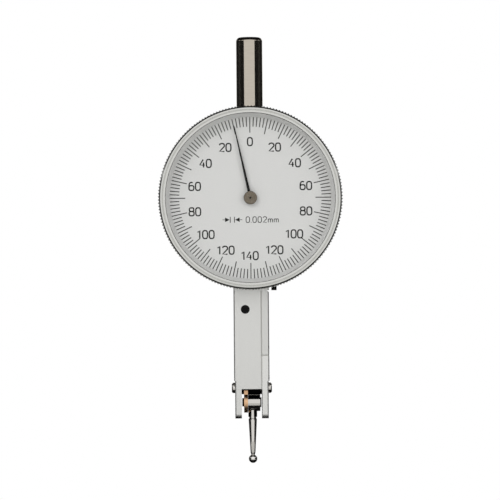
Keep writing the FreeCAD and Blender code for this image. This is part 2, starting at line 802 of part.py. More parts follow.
def lever_arm():
    """The plate lever: an eye for the stylus below the fulcrum, a long arm and a toothed sector above."""
    left = -lever_left
    right = lever_right
    step = sector_module / sector_r
    outline = []
    for i in range(sector_teeth):
        centre = math.pi * step * (i - (sector_teeth - 1) / 2)
        outline += tooth(sector_module, sector_r, centre)
    head = [(r * math.sin(angle), fulcrum_z + r * math.cos(angle)) for r, angle in outline]
    half = head[-1][0] + sector_margin
    root_z = head[0][1]
    rim_z = root_z - sector_rim
    neck_z = root_z - sector_neck
    w = lever_half_width
    head = [(-half, root_z)] + head + [(half, root_z), (half, rim_z), (w, neck_z), (w, fulcrum_z),
                                       (-w, fulcrum_z), (-w, neck_z), (-half, rim_z)]
    arm = prism_x(head, left, right)
    arm.rotate(vec(0, 0, fulcrum_z), vec(1, 0, 0), arm_tilt)
    collar = rod_x(fulcrum_boss_r, left, right, 0, fulcrum_z)
    eye = rod_x(eye_r, left, right, 0, hub_z)
    neck = box(left, right, -neck_half_width, neck_half_width, hub_z, fulcrum_z)
    plate = joined(arm, collar, eye, neck)
    return plate.cut([rod_x(fulcrum_r, left - 1, right + 1, 0, fulcrum_z),
                      rod_x(hub_screw_r, left - 1, right + 1, 0, hub_z)])


def fulcrum_arbor():
    """The lever's cross arbor, with a pivot at each end that runs in the pivot screws."""
    left = -channel_left + end_play
    right = channel_right - end_play
    body = rod_x(fulcrum_r, left, right, 0, fulcrum_z)
    return joined(body, rod_x(pivot_r, left - side_pivot, right + side_pivot, 0, fulcrum_z))


def pivot_screw(side):
    """A round-headed bearing screw through a fork arm, bored at its inner end for the arbor's pivot."""
    inner = -channel_left if side < 0 else channel_right
    shank = abs(fork_half - abs(inner))
    profile = [(0, -shank), (pivot_screw_r, -shank), (pivot_screw_r, 0), (pivot_head_r, 0),
               (pivot_head_r, pivot_head - pivot_dome), (pivot_head_r - pivot_dome, pivot_head),
               (0, pivot_head)]
    shape = turned_z(profile, 0)
    bore = rod_z(pivot_r + bearing_play, -shank - 1, -shank + side_bore, 0, 0)
    slot = box(-2 * pivot_head_r, 2 * pivot_head_r, -screw_slot / 2, screw_slot / 2,
               0.55 * pivot_head, pivot_head + 1)
    shape = shape.cut([bore, slot])
    turn = FreeCAD.Rotation(vec(0, 0, 1), vec(side, 0, 0))
    shape.Placement = FreeCAD.Placement(vec(side * fork_half, 0, fulcrum_z), turn)
    return shape


def stop_screw(side):
    """A flush screw whose thin tip limits how far the lever can swing."""
    face = side * bar_back
    tip = arm_y(stop_z) + side * (lever_half_width / math.cos(math.radians(arm_tilt)) + stop_gap)
    thread_end = side * (channel_depth / 2 - stop_thread_inset)
    x = lever_mid_x
    slot_depth = 0.4 * stop_screw_r
    thread = rod_y(stop_screw_r, min(face, thread_end), max(face, thread_end), x, stop_z)
    pin = rod_y(0.4 * stop_screw_r, min(tip, thread_end), max(tip, thread_end), x, stop_z)
    slot = box(x - 2 * stop_screw_r, x + 2 * stop_screw_r, face - slot_depth, face + slot_depth,
               stop_z - screw_slot / 2, stop_z + screw_slot / 2)
    return joined(thread, pin).cut(slot)


def hub_screw():
    """The screw through the lever's eye on which the stylus holder turns."""
    shank = rod_x(hub_screw_r, -lever_left - hub_nut_height, washer_right_x, 0, hub_z)
    head = rod_x(hub_head_r, washer_right_x, channel_right - hub_head_gap, 0, hub_z)
    return joined(shank, head)


def hub_nut():
    nut = rod_x(hub_nut_r, -lever_left - hub_nut_height, -lever_left, 0, hub_z)
    return nut.cut(rod_x(hub_screw_r, -lever_left - 1, -lever_left + 1, 0, hub_z))


def clutch_washer():
    """The spring washer that gives the stylus holder its drag."""
    washer = rod_x(hub_head_r, hub_recess_x + washer_play, washer_right_x, 0, hub_z)
    return washer.cut(rod_x(hub_screw_r, hub_recess_x - 1, washer_right_x + 1, 0, hub_z))


# Stylus

def stylus_hub():
    """The barrel that turns on the hub screw, with the tapped collar that the stylus screws into."""
    barrel = rod_x(barrel_r, barrel_left_x, barrel_right_x, 0, hub_z)
    collar = rod_z(collar_r, hub_z - collar_length, hub_z, stylus_x, 0)
    bore = rod_x(hub_screw_r + bearing_play, barrel_left_x - 1, barrel_right_x + 1, 0, hub_z)
    recess = rod_x(hub_head_r + hub_recess_play, hub_recess_x, barrel_right_x + 1, 0, hub_z)
    tapped = rod_z(stud_r, hub_z - collar_length - 1, hub_z - collar_length + stud_length + tap_spare,
                   stylus_x, 0)
    return joined(barrel, collar).cut([bore, recess, tapped])


def stylus():
    """The tapered contact point: stud, neck, cone and the pin that the ball is brazed on."""
    seat = hub_z - collar_length
    cone_top = seat - neck_length
    return turned_z([(0, seat + stud_length), (stud_r, seat + stud_length), (stud_r, seat),
                     (neck_r, seat), (neck_r, cone_top), (cone_r, cone_top - cone_bevel),
                     (cone_tip_r, ball_z + cone_foot), (pin_r, ball_z + pin_shoulder),
                     (pin_r, ball_z + pin_foot), (0, ball_z + pin_foot)], stylus_x)


def stylus_ball():
    """The hard contact ball, drilled for the point's pin."""
    ball = Part.makeSphere(ball_r, vec(stylus_x, 0, ball_z))
    return ball.cut(rod_z(pin_r, ball_z + pin_foot, ball_z + 2 * ball_r, stylus_x, 0))


def save(node, shape):
    if not shape.isValid():
        raise ValueError(node + " is not a valid shape")
    shape.exportStep("parts/" + node + ".step")


os.makedirs("parts", exist_ok=True)
save("body_frame", body_frame())
save("side_cover", side_cover())
save("fork_cheek", fork_cheek())
save("cover_screws", Part.makeCompound(side_screws(cover_screw_places())))
save("cheek_screws", Part.makeCompound(side_screws(cheek_screw_places())))
save("stem", stem())
save("case", case())
save("case_screws", case_screws())
save("bezel_friction_screw", bezel_friction_screw())
save("front_bridge", front_bridge())
save("bridge_pillars", bridge_pillars())
save("bridge_screws", bridge_screws())
save("front_bush", front_bush())
save("rear_cock", rear_cock())
save("cock_screw", cock_screw())
save("rear_bush", rear_bush())
save("crown_bush_left", crown_bush(-1))
save("crown_bush_right", crown_bush(1))
save("stop_screw_front", stop_screw(-1))
save("stop_screw_rear", stop_screw(1))
save("pivot_screw_left", pivot_screw(-1))
save("pivot_screw_right", pivot_screw(1))
save("hairspring", hairspring())
save("hairspring_stud", hairspring_stud())
save("lever_arm", lever_arm())
save("fulcrum_arbor", fulcrum_arbor())
save("hub_screw", hub_screw())
save("hub_nut", hub_nut())
save("clutch_washer", clutch_washer())
save("stylus_hub", stylus_hub())
save("stylus", stylus())
save("stylus_ball", stylus_ball())
save("crown_wheel", crown_wheel())
save("crown_arbor", crown_arbor())
save("pointer_arbor", pointer_arbor())
save("pointer", pointer())
save("pointer_boss", pointer_boss())
save("hairspring_collet", hairspring_collet())
save("bezel", bezel())
save("crystal", crystal())
save("dial", dial())
save("dial_ring", dial_ring())
save("dial_retainer", dial_retainer())
save("bezel_wire", bezel_wire())
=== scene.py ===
"""A lever dial test indicator, dressed for its picture.

All lengths are in metres; y is negative towards the viewer and z is up along the stem.
"""

import math

import bpy
import numpy as np
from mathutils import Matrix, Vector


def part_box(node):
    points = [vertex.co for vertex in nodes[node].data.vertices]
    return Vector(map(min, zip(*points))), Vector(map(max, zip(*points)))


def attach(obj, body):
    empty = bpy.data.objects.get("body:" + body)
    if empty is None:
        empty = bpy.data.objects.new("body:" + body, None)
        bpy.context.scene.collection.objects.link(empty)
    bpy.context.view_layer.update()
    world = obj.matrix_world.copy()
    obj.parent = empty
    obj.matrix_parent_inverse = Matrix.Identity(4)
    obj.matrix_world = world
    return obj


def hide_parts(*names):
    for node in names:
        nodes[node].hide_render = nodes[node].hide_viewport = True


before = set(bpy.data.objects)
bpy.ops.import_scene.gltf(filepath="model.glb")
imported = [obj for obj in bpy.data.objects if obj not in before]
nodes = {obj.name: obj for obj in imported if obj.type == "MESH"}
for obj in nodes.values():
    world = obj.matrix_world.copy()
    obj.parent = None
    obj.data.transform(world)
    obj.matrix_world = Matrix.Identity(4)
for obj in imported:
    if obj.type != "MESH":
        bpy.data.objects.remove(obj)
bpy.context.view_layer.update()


# --- Body, covers and case ----------------------------------------------------------------
# Machined steel, blasted to an even satin and hard-chromed: a neutral light grey that never mirrors. Its
# grain of a few hundredths of a millimetre is drawn coarser, so that it shows, and the inside of the
# channel
# milled up the bar is painted near black: painted shade for the dark inside of the slot.

mm = 0.001
# The three pieces share one chrome, but the cover is painted a shade darker than the bar and the fork cheek
# a shade lighter: painted shade and painted light for the light falling differently on each.
satin_tones = {"body": ("d5d5d2", "e2e2df"), "cover": ("d2d2cf", "ddddda"), "cheek": ("dfdfdc", "e9e9e6")}
blast_grain, blast_depth = 0.16 * mm, 0.004 * mm
channel_half_x, channel_half_y = 2.36 * mm, 4.3 * mm


def linear(hex_colour):
    """The linear RGBA of an sRGB hex value such as "c8c8c4"."""
    c = np.array([int(hex_colour[i : i + 2], 16) for i in (0, 2, 4)]) / 255.0
    rgb = np.where(c <= 0.04045, c / 12.92, ((c + 0.055) / 1.055) ** 2.4)
    return (*rgb.tolist(), 1.0)


def add(material, kind, settings=None, inputs=None):
    """Adds a node, sets its properties and its inputs; an input that is a socket is linked."""
    node = material.node_tree.nodes.new(kind)
    for name, value in (settings or {}).items():
        setattr(node, name, value)
    for name, value in (inputs or {}).items():
        if isinstance(value, bpy.types.NodeSocket):
            material.node_tree.links.new(value, node.inputs[name])
        else:
            node.inputs[name].default_value = value
    return node


def surface(name, colour, metallic, roughness, **more):
    """A material with its principled shader ready, and that shader."""
    material = bpy.data.materials.new(name)
    material.use_nodes = True
    shader = material.node_tree.nodes["Principled BSDF"]
    shader.inputs["Base Color"].default_value = linear(colour)
    shader.inputs["Metallic"].default_value = metallic
    shader.inputs["Roughness"].default_value = roughness
    for socket, value in more.items():
        shader.inputs[socket.replace("_", " ")].default_value = value
    return material, shader


def grain(material, shader, size, depth, stretch=(1.0, 1.0, 1.0), tones=None):
    """Noise of one size, in metres, as relief of one depth and, if given, between two tones."""
    place = add(material, "ShaderNodeTexCoord")
    scaled = add(material, "ShaderNodeMapping", None,
                 {"Vector": place.outputs["Object"], "Scale": stretch})
    noise = add(material, "ShaderNodeTexNoise", None,
                {"Vector": scaled.outputs["Vector"], "Scale": 1.0 / size, "Detail": 3.0})
    if depth:
        bump = add(material, "ShaderNodeBump", None,
                   {"Height": noise.outputs["Fac"], "Distance": depth, "Strength": 1.0})
        material.node_tree.links.new(bump.outputs["Normal"], shader.inputs["Normal"])
    if tones:
        mix = add(material, "ShaderNodeMix", {"data_type": "RGBA"},
                  {"Factor": noise.outputs["Fac"], "A": linear(tones[0]), "B": linear(tones[1])})
        material.node_tree.links.new(mix.outputs["Result"], shader.inputs["Base Color"])
    return noise


def finish_with(material, *names):
    """Gives the material to every slot of the named nodes."""
    for name in names:
        for slot in nodes[name].material_slots:
            slot.material = material


def inside(material, half_x, half_y):
    """1 where a point lies nearer the upright middle plane than half_x and half_y, else 0."""
    place = add(material, "ShaderNodeTexCoord")
    parts = add(material, "ShaderNodeSeparateXYZ", None, {0: place.outputs["Object"]})
    held = None
    for axis, half in (("X", half_x), ("Y", half_y)):
        size = add(material, "ShaderNodeMath", {"operation": "ABSOLUTE"}, {0: parts.outputs[axis]})
        near = add(material, "ShaderNodeMath", {"operation": "LESS_THAN"},
                   {0: size.outputs[0], 1: half})
        held = near if held is None else add(material, "ShaderNodeMath", {"operation": "MULTIPLY"},
                                             {0: held.outputs[0], 1: near.outputs[0]})
    return held.outputs[0]


satin = {}
for piece, tones in satin_tones.items():
    chrome, shader = surface("satin_chrome_" + piece, tones[0], 1.0, 0.42)
    grain(chrome, shader, blast_grain, blast_depth, tones=tones)
    tone = shader.inputs["Base Color"].links[0].from_socket
    # Inside the channel the satin tone is mixed to near black: painted shade, not a colour of the metal.
    channel_shade_mask = inside(chrome, channel_half_x, channel_half_y)
    scaled = add(chrome, "ShaderNodeMix", {"data_type": "RGBA"},
                 {"Factor": channel_shade_mask, "A": tone, "B": linear("0f0e0d")})
    chrome.node_tree.links.new(scaled.outputs["Result"], shader.inputs["Base Color"])
    satin[piece] = chrome
finish_with(satin["body"], "body_frame", "case")
finish_with(satin["cover"], "side_cover")
finish_with(satin["cheek"], "fork_cheek")


# --- Clamping stem ------------------------------------------------------------------------
# Hardened steel, ground and polished between centres: it mirrors what is around it,
# broken only by faint rings that the wheel left. Its spigot is fixed in the bar.

stem_r, stem_round, stem_foot_bevel = 3.0 * mm, 0.9 * mm, 0.15 * mm
spigot_r, spigot_length = 2.0 * mm, 6.0 * mm
stem_top = float(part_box("stem")[1].z)
ground_steel, ground_shader = surface("ground_and_polished_steel", "bcb4a8", 1.0, 0.09)
grain(ground_steel, ground_shader, 0.25 * mm, 0.0004 * mm, stretch=(0.1, 0.1, 1.0),
      tones=("b5ada1", "c3bbaf"))


def turned(name, profile, count, centre, axis, material, ripple=None):
    """A turned piece: every (radius, height) point of the profile, taken with the solid on its left, is
    carried round the axis in count equal steps. A profile that starts and ends on the axis closes in two
    poles, any other closes on itself. ripple(angle, point index) may add to the radius."""
    profile = np.asarray(profile, float)
    poles = profile[0, 0] == 0.0 and profile[-1, 0] == 0.0
    rings = profile[1:-1] if poles else profile
    turn = 2.0 * np.pi * np.arange(count) / count
    radius = np.repeat(rings[:, :1], count, 1)
    if ripple is not None:
        radius = radius + ripple(turn[None, :], np.arange(len(rings))[:, None])
    height = np.repeat(rings[:, 1:], count, 1)
    if axis == "z":
        points = np.stack([radius * np.cos(turn), radius * np.sin(turn), height], -1)
        ends = [(0.0, 0.0, profile[0, 1]), (0.0, 0.0, profile[-1, 1])]
    else:
        points = np.stack([radius * np.sin(turn), height, radius * np.cos(turn)], -1)
        ends = [(0.0, profile[0, 1], 0.0), (0.0, profile[-1, 1], 0.0)]
    points = points.reshape(-1, 3)
    k = len(rings)
    i = np.arange(count)[None, :]
    j = np.arange(k - 1 if poles else k)[:, None]
    low, high = j * count, ((j + 1) % k) * count
    after = (i + 1) % count
    faces = np.stack([low + i, low + after, high + after, high + i], -1).reshape(-1, 4).tolist()
    if poles:
        points = np.vstack([points, ends])
        last = (k - 1) * count
        around = np.arange(count)
        faces += np.stack([np.full(count, k * count), (around + 1) % count, around], 1).tolist()
        faces += np.stack([np.full(count, k * count + 1), last + around,
                           last + (around + 1) % count], 1).tolist()
    mesh = bpy.data.meshes.new(name)
    mesh.from_pydata((points + centre).tolist(), [], faces)
    mesh.polygons.foreach_set("use_smooth", [True] * len(mesh.polygons))
    mesh.set_sharp_from_angle(angle=math.radians(28.0))
    mesh.materials.append(material)
    made = bpy.data.objects.new(name, mesh)
    bpy.context.scene.collection.objects.link(made)
    return made


def rounded(corner, radius, start, end, count=8):
    """Points of an arc about corner: cos and sin of the angle, times the radius."""
    t = np.radians(np.linspace(start, end, count))
    return [(corner[0] + radius * math.cos(v), corner[1] + radius * math.sin(v)) for v in t]


stem_end = rounded((stem_r - stem_round, stem_top - stem_round), stem_round, 0.0, 88.0, 12)
stem_profile = [(0.0, -spigot_length), (spigot_r, -spigot_length), (spigot_r, 0.0),
                (stem_r - stem_foot_bevel, 0.0), (stem_r, stem_foot_bevel), *stem_end, (0.0, stem_top)]
ground_stem = turned("ground_stem", stem_profile, 192, (0.0, 0.0, 0.0), "z", ground_steel)
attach(ground_stem, "frame")
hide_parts("stem")


# --- Screws, nut and washer ---------------------------------------------------------------
# Small steel fasteners, blackened in hot salts: nearly black with a soft oily shine. The
# pointer's spindle keeps the same black skin where its end shows in the boss.

black_oxide, oxide_shader = surface("black_oxide_on_steel", "121211", 0.9, 0.34)
grain(black_oxide, oxide_shader, 0.08 * mm, 0.002 * mm, tones=("0c0c0c", "191918"))
finish_with(black_oxide, "cover_screws", "cheek_screws", "case_screws", "bezel_friction_screw",
            "stop_screw_front", "stop_screw_rear", "hub_screw", "hub_nut", "clutch_washer",
            "pointer_arbor")


# --- Plates of the movement ---------------------------------------------------------------
# The bridge and the cock that hold the pointer's arbor, and the flat ring that keeps the dial in the
# bezel: rolled steel, blanked and lapped to a straight dull grain, and left unplated.

lapped_steel, lapped_shader = surface("lapped_steel_plate", "b4b3ae", 1.0, 0.35)
grain(lapped_steel, lapped_shader, 0.12 * mm, 0.002 * mm, stretch=(0.1, 1.0, 1.0),
      tones=("aaa9a4", "bcbbb6"))
finish_with(lapped_steel, "front_bridge", "rear_cock", "dial_retainer")


# --- Arbors and small screws --------------------------------------------------------------
# The arbors of the lever and of the cross wheel, and the screws of bridge and cock, turned from drawn
# silver steel and burnished bright where they bear.

silver_steel, silver_shader = surface("burnished_silver_steel", "b9b8b4", 1.0, 0.16)
grain(silver_steel, silver_shader, 0.05 * mm, 0.0005 * mm, tones=("b0afab", "c2c1bd"))
finish_with(silver_steel, "bridge_screws", "cock_screw", "fulcrum_arbor", "crown_arbor")


# --- Lever --------------------------------------------------------------------------------
# The plate lever that carries the stylus below and the toothed sector above, sawn and milled from
# phosphor bronze and left bare: a pale copper colour with a fine milled grain.

bronze, bronze_shader = surface("phosphor_bronze", "efc39a", 1.0, 0.38)
grain(bronze, bronze_shader, 0.10 * mm, 0.003 * mm, stretch=(1.0, 1.0, 0.25),
      tones=("e8b88c", "f4cda6"))
finish_with(bronze, "lever_arm")


# --- Bushes, pillars and crown wheel ------------------------------------------------------
# The small brass of the movement, turned from free-cutting rod; the wheel's teeth are hobbed. All of it
# is left bright, a warm yellow that reflects softly.

turned_brass, brass_shader = surface("turned_brass", "d9b766", 1.0, 0.24)
grain(turned_brass, brass_shader, 0.06 * mm, 0.001 * mm, tones=("d2ae5c", "e0c074"))
finish_with(turned_brass, "bridge_pillars", "front_bush", "rear_bush", "crown_bush_left",
            "crown_bush_right", "hairspring_stud", "hairspring_collet", "crown_wheel")


# --- Hairspring and bezel wire ------------------------------------------------------------
# The flat coiled hairspring, and the wire that springs into its groove and keeps the bezel on the case:
# rolled and drawn spring steel, tempered until it turns blue.

blued_steel, blued_shader = surface("blued_spring_steel", "4a5878", 1.0, 0.28)
grain(blued_steel, blued_shader, 0.04 * mm, 0.0005 * mm, tones=("3f4c6c", "566486"))
finish_with(blued_steel, "hairspring", "bezel_wire")


# --- Dial ---------------------------------------------------------------------------------
# A disc of brass sheet that sits in the bezel and turns with it, sprayed a matt silver: a light grey with
# a powdery grain that never glints.

silver_paint, silver_paint_shader = surface("matt_silver_paint", "dddddb", 0.0, 0.62)
grain(silver_paint, silver_paint_shader, 0.22 * mm, 0.0, tones=("d5d5d3", "e5e5e3"))
finish_with(silver_paint, "dial")


# --- Printing on the dial -----------------------------------------------------------------
# Black pad-printed ink: 140 divisions of 0.002, every fifth one long, with a number at
# every tenth counted both ways from the top, and the value of one division below.

ink_depth = 0.01 * mm
dial_axis_z = float((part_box("dial")[0].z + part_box("dial")[1].z) / 2)
dial_face_y = float(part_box("dial")[0].y)
divisions = 140
tick_outer, tick_inner, long_tick_inner = 18.08 * mm, 15.96 * mm, 14.6 * mm
tick_width = 0.20 * mm
number_circle, number_drop = 12.78 * mm, 0.2 * mm
number_height, number_stroke, number_gap = 1.78 * mm, 0.30 * mm, 0.38 * mm
mark_x, mark_z = -1.0 * mm, -4.9 * mm
mark_height, mark_stroke, mark_gap = 1.28 * mm, 0.17 * mm, 0.37 * mm
mark_bars, bar_half_height = ((1, -4.55 * mm), (-1, -3.6 * mm)), 0.66 * mm
head_tip, head_from, head_to, head_stroke = 0.15 * mm, 0.25 * mm, 1.1 * mm, 0.125 * mm
shaft_from, shaft_to, shaft_stroke = 1.0 * mm, 1.75 * mm, 0.12 * mm


def stroke(path, width, closed=False):
    """A flat bar carried along a path of (x, z) points: at each point the two edges stand half the width
    to either side of the path's direction, at the dial face and one ink depth in front of it."""
    path = np.asarray(path, float)
    if closed:
        ahead, behind = np.roll(path, -1, 0), np.roll(path, 1, 0)
    else:
        ahead, behind = np.vstack([path[1:], path[-1:]]), np.vstack([path[:1], path[:-1]])
    way = ahead - behind
    way /= np.linalg.norm(way, axis=1, keepdims=True)
    side = np.stack([-way[:, 1], way[:, 0]], 1) * width / 2
    edges = np.stack([path + side, path - side, path - side, path + side], 1)
    y = np.broadcast_to(np.array([1.0, 1.0, -1.0, -1.0]) * ink_depth / 2, edges.shape[:2])
    points = np.stack([edges[..., 0], y, edges[..., 1]], -1).reshape(-1, 3)
    n = len(path)
    i = np.arange(n if closed else n - 1)[:, None]
    j = np.arange(4)[None, :]
    a, b = i * 4 + j, i * 4 + (j + 1) % 4
    c, d = ((i + 1) % n) * 4 + (j + 1) % 4, ((i + 1) % n) * 4 + j
    faces = np.stack([a, b, c, d], -1).reshape(-1, 4)
    if not closed:
        last = 4 * (n - 1)
        faces = np.vstack([faces, [[3, 2, 1, 0]], [[last, last + 1, last + 2, last + 3]]])
    return points, faces


def oval(x, z, half_width, half_height, start=0.0, end=360.0, squareness=3.0, count=28):
    """A squared oval: cos and sin of the angle, each to the power 2/squareness, times the half sizes."""
    t = np.radians(np.linspace(start, end, count, endpoint=abs(end - start) < 360.0))
    power = 2.0 / squareness
    u = np.sign(np.cos(t)) * np.abs(np.cos(t)) ** power
    v = np.sign(np.sin(t)) * np.abs(np.sin(t)) ** power
    return np.stack([x + half_width * u, z + half_height * v], 1)


# Each sign is a list of (path, closed) on a box one high, from x = 0 to its own width.
wide, mid = 0.61, 0.305
signs = {
    "0": (wide, [(oval(mid, 0.5, mid, 0.5), True)]),
    "1": (0.42, [([(0.0, 0.78), (0.27, 1.0), (0.27, 0.0)], False)]),
    "2": (wide, [(np.vstack([oval(mid, 0.73, mid, 0.27, 172.0, -18.0, 2.4, 16),
                             [(0.0, 0.0), (wide, 0.0)]]), False)]),
    "4": (wide, [([(0.42, 1.0), (0.0, 0.30), (wide, 0.30)], False),
                 ([(0.47, 0.62), (0.47, 0.0)], False)]),
    "6": (wide, [(oval(mid, 0.30, mid, 0.30), True),
                 (oval(mid, 0.42, mid, 0.58, 178.0, 62.0, 2.6, 12), False)]),
    "8": (wide, [(oval(mid, 0.27, mid, 0.27), True), (oval(mid, 0.77, 0.27, 0.23), True)]),
    ".": (0.0, [([(0.0, 0.0), (0.0, 0.09)], False)]),
    "m": (0.74, [([(0.0, 0.0), (0.0, 0.60)], False),
                 (np.vstack([oval(0.185, 0.38, 0.185, 0.22, 178.0, 2.0, 2.8, 10), [(0.37, 0.0)]]), False),
                 (np.vstack([oval(0.555, 0.38, 0.185, 0.22, 178.0, 2.0, 2.8, 10), [(0.74, 0.0)]]), False)]),
}


def lettering(text, x, z, height, width, gap, centred=True):
    """The strokes of a line of signs, each moved on by its own width and one gap."""
    advance = [signs[c][0] * height + gap for c in text]
    cursor = x - (sum(advance) - gap) / 2 if centred else x
    made = []
    for sign, step in zip(text, advance):
        for path, closed in signs[sign][1]:
            made.append(stroke(np.asarray(path) * height + (cursor, z - height / 2), width, closed))
        cursor += step
    return made


ink = []
for k in range(divisions):
    turn = 2.0 * math.pi * k / divisions
    inner = long_tick_inner if k % 5 == 0 else tick_inner
    ink.append(stroke(np.outer([inner, tick_outer], [math.sin(turn), math.cos(turn)]), tick_width))
for tens in range(8):
    for side in (-1, 1) if 0 < tens < 7 else (1,):
        turn = side * 2.0 * math.pi * tens * 10 / divisions
        # The wide numbers at the bottom stand a little to the left, the right-hand ones more.
        nudge = (0.05 if side < 0 else 0.2) * mm if tens >= 5 else 0.0
        ink += lettering(str(20 * tens), number_circle * math.sin(turn) - nudge,
                         number_circle * math.cos(turn) - number_drop,
                         number_height, number_stroke, number_gap)
ink += lettering("0.002mm", mark_x, mark_z, mark_height, mark_stroke, mark_gap, centred=False)
# Two short bars, each with an arrow that points at it: nine strokes side by side fill an arrowhead.
for side, bar_x in mark_bars:
    ink.append(stroke([(bar_x, mark_z - bar_half_height), (bar_x, mark_z + bar_half_height)], mark_stroke))
    shaft = [(bar_x - side * shaft_from, mark_z), (bar_x - side * shaft_to, mark_z)]
    ink.append(stroke(shaft, shaft_stroke))
    for away in np.linspace(head_from, head_to, 9):
        x = bar_x - side * away
        reach = 0.5 * (away - head_tip)
        ink.append(stroke([(x, mark_z - reach), (x, mark_z + reach)], head_stroke))

counts = np.cumsum([0] + [len(p) for p, _ in ink])
ink_points = np.vstack([p for p, _ in ink]) + (0.0, dial_face_y - ink_depth / 2, dial_axis_z)
ink_faces = [f for (_, faces), start in zip(ink, counts) for f in (faces + start).tolist()]
ink_mesh = bpy.data.meshes.new("dial_printing")
ink_mesh.from_pydata(ink_points.tolist(), [], ink_faces)
dial_printing = bpy.data.objects.new("dial_printing", ink_mesh)
bpy.context.scene.collection.objects.link(dial_printing)
black_ink, ink_shader = surface("black_pad_print_ink", "232322", 0.0, 0.7, Specular_IOR_Level=0.15)
grain(black_ink, ink_shader, 0.3 * mm, 0.0, tones=("1d1d1c", "2a2a29"))
ink_mesh.materials.append(black_ink)
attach(dial_printing, "bezel")


# --- Dial ring ----------------------------------------------------------------------------
# A turned brass ring that holds the dial and the crystal apart, with a slope that leads down to the dial.
# It is sprayed with the dial's silver, a tone darker.

ring_paint, ring_shader = surface("matt_silver_paint_darker", "cfcfcd", 0.0, 0.58)
grain(ring_paint, ring_shader, 0.22 * mm, 0.0, tones=("c8c8c6", "d6d6d4"))
finish_with(ring_paint, "dial_ring")


# --- Pointer and its boss -----------------------------------------------------------------
# An etched steel blade under a matt black lacquer, riveted to a turned boss that is pressed on the arbor.
# The boss is nickel-plated, a warm grey.

lacquer, lacquer_shader = surface("black_lacquer_on_steel", "0d0d0d", 0.0, 0.7, Specular_IOR_Level=0.1)
grain(lacquer, lacquer_shader, 0.1 * mm, 0.0, tones=("080808", "121212"))
finish_with(lacquer, "pointer")
nickel, nickel_shader = surface("warm_nickel_plate", "6f665a", 1.0, 0.30)
grain(nickel, nickel_shader, 0.1 * mm, 0.001 * mm, tones=("645c50", "7a7164"))
finish_with(nickel, "pointer_boss")


# --- Bezel --------------------------------------------------------------------------------
# A brass ring, turned, straight-knurled round its skirt and chrome-plated bright. Its front
# rim has a broken edge and a fine groove, and its lip holds the crystal down.

bright_chrome, chrome_shader = surface("turned_bright_chrome", "cfcfcb", 1.0, 0.20)
grain(bright_chrome, chrome_shader, 0.12 * mm, 0.0006 * mm, tones=("c9c9c5", "d5d5d1"))
bezel_front, bezel_back = (float(corner.y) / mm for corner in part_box("bezel"))
lip_r, seat_r, bore_r, shoulder_r = 18.95, 19.2, 19.7, 20.45
lip_back, seat_back, knurl_front = -13.25, -9.45, -11.52
groove_in, groove_out, groove_depth = 19.60, 19.68, 0.1
teeth, knurl_crest, knurl_root, neck_r = 180, 20.72, 20.42, 20.30
# (radius, y, 1 where knurled) in millimetres, with the metal on the left of the way round.
rim = [(lip_r, lip_back, 0), (lip_r, bezel_front + 0.1, 0), (lip_r + 0.1, bezel_front, 0),
       (groove_in - 0.1, bezel_front, 0), (groove_in, bezel_front + groove_depth, 0),
       (groove_out, bezel_front + groove_depth, 0), (groove_out + 0.1, bezel_front, 0),
       (20.00, bezel_front, 0), (20.12, bezel_front + 0.04, 0), (20.42, bezel_front + 0.36, 0),
       (shoulder_r, bezel_front + 0.5, 0), (shoulder_r, knurl_front - 0.20, 0),
       (neck_r, knurl_front - 0.14, 0), (neck_r, knurl_front - 0.08, 0), (knurl_root, knurl_front, 0)]
skirt = [(knurl_root, y, 1) for y in (knurl_front + 0.12, -10.4, -9.3, -8.2, bezel_back - 0.25)]
inner_wall = [(knurl_root, bezel_back - 0.06, 0), (neck_r, bezel_back, 0), (bore_r + 0.05, bezel_back, 0),
              (bore_r, bezel_back - 0.05, 0), (bore_r, seat_back, 0), (seat_r, seat_back, 0),
              (seat_r, lip_back + 0.05, 0)]
section = np.array(rim + skirt + inner_wall)


def knurl(turn, index):
    """A saw-tooth round the ring with a blunt crest: one minus the distance from the nearest crest, that
    distance rounded off by blunt and the whole scaled so that the crest is one high."""
    blunt = 0.1
    away = np.abs((turn * teeth / (2.0 * np.pi)) % 1.0 - 0.5) * 2.0
    crest = (1.0 - np.sqrt(away**2 + blunt**2)) / (1.0 - blunt)
    return np.clip(crest, 0.0, 1.0) * (knurl_crest - knurl_root) * mm * section[index, 2]


knurled_bezel = turned("knurled_bezel", section[:, :2] * mm, 8 * teeth,
                       (0.0, 0.0, dial_axis_z), "y", bright_chrome, knurl)
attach(knurled_bezel, "bezel")
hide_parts("bezel")


# --- Crystal ------------------------------------------------------------------------------
# Flat disc of cast acrylic, coated against glare, so that the black of the printing stays black behind
# it. Light for the dial passes it unbent, so that the dial isn't left dark.

acrylic, acrylic_shader = surface("coated_clear_acrylic", "ffffff", 0.0, 0.02, IOR=1.15)
acrylic_shader.inputs["Transmission Weight"].default_value = 1.0
acrylic_path = add(acrylic, "ShaderNodeLightPath")
acrylic_pass = add(acrylic, "ShaderNodeMath", {"operation": "MAXIMUM"},
                   {0: acrylic_path.outputs["Is Shadow Ray"], 1: acrylic_path.outputs["Is Diffuse Ray"]})
acrylic_clear = add(acrylic, "ShaderNodeBsdfTransparent")
acrylic_mix = add(acrylic, "ShaderNodeMixShader", None,
                  {0: acrylic_pass.outputs[0], 1: acrylic_shader.outputs[0], 2: acrylic_clear.outputs[0]})
acrylic.node_tree.links.new(acrylic_mix.outputs[0],
                            acrylic.node_tree.nodes["Material Output"].inputs["Surface"])
finish_with(acrylic, "crystal")


# --- Stylus, its holder and the pivot screws ----------------------------------------------
# The tapered contact point is turned and polished steel, screwed into its holder's collar. The holder
# and the two screws whose tips carry the lever's arbor are burnished to the same shine.

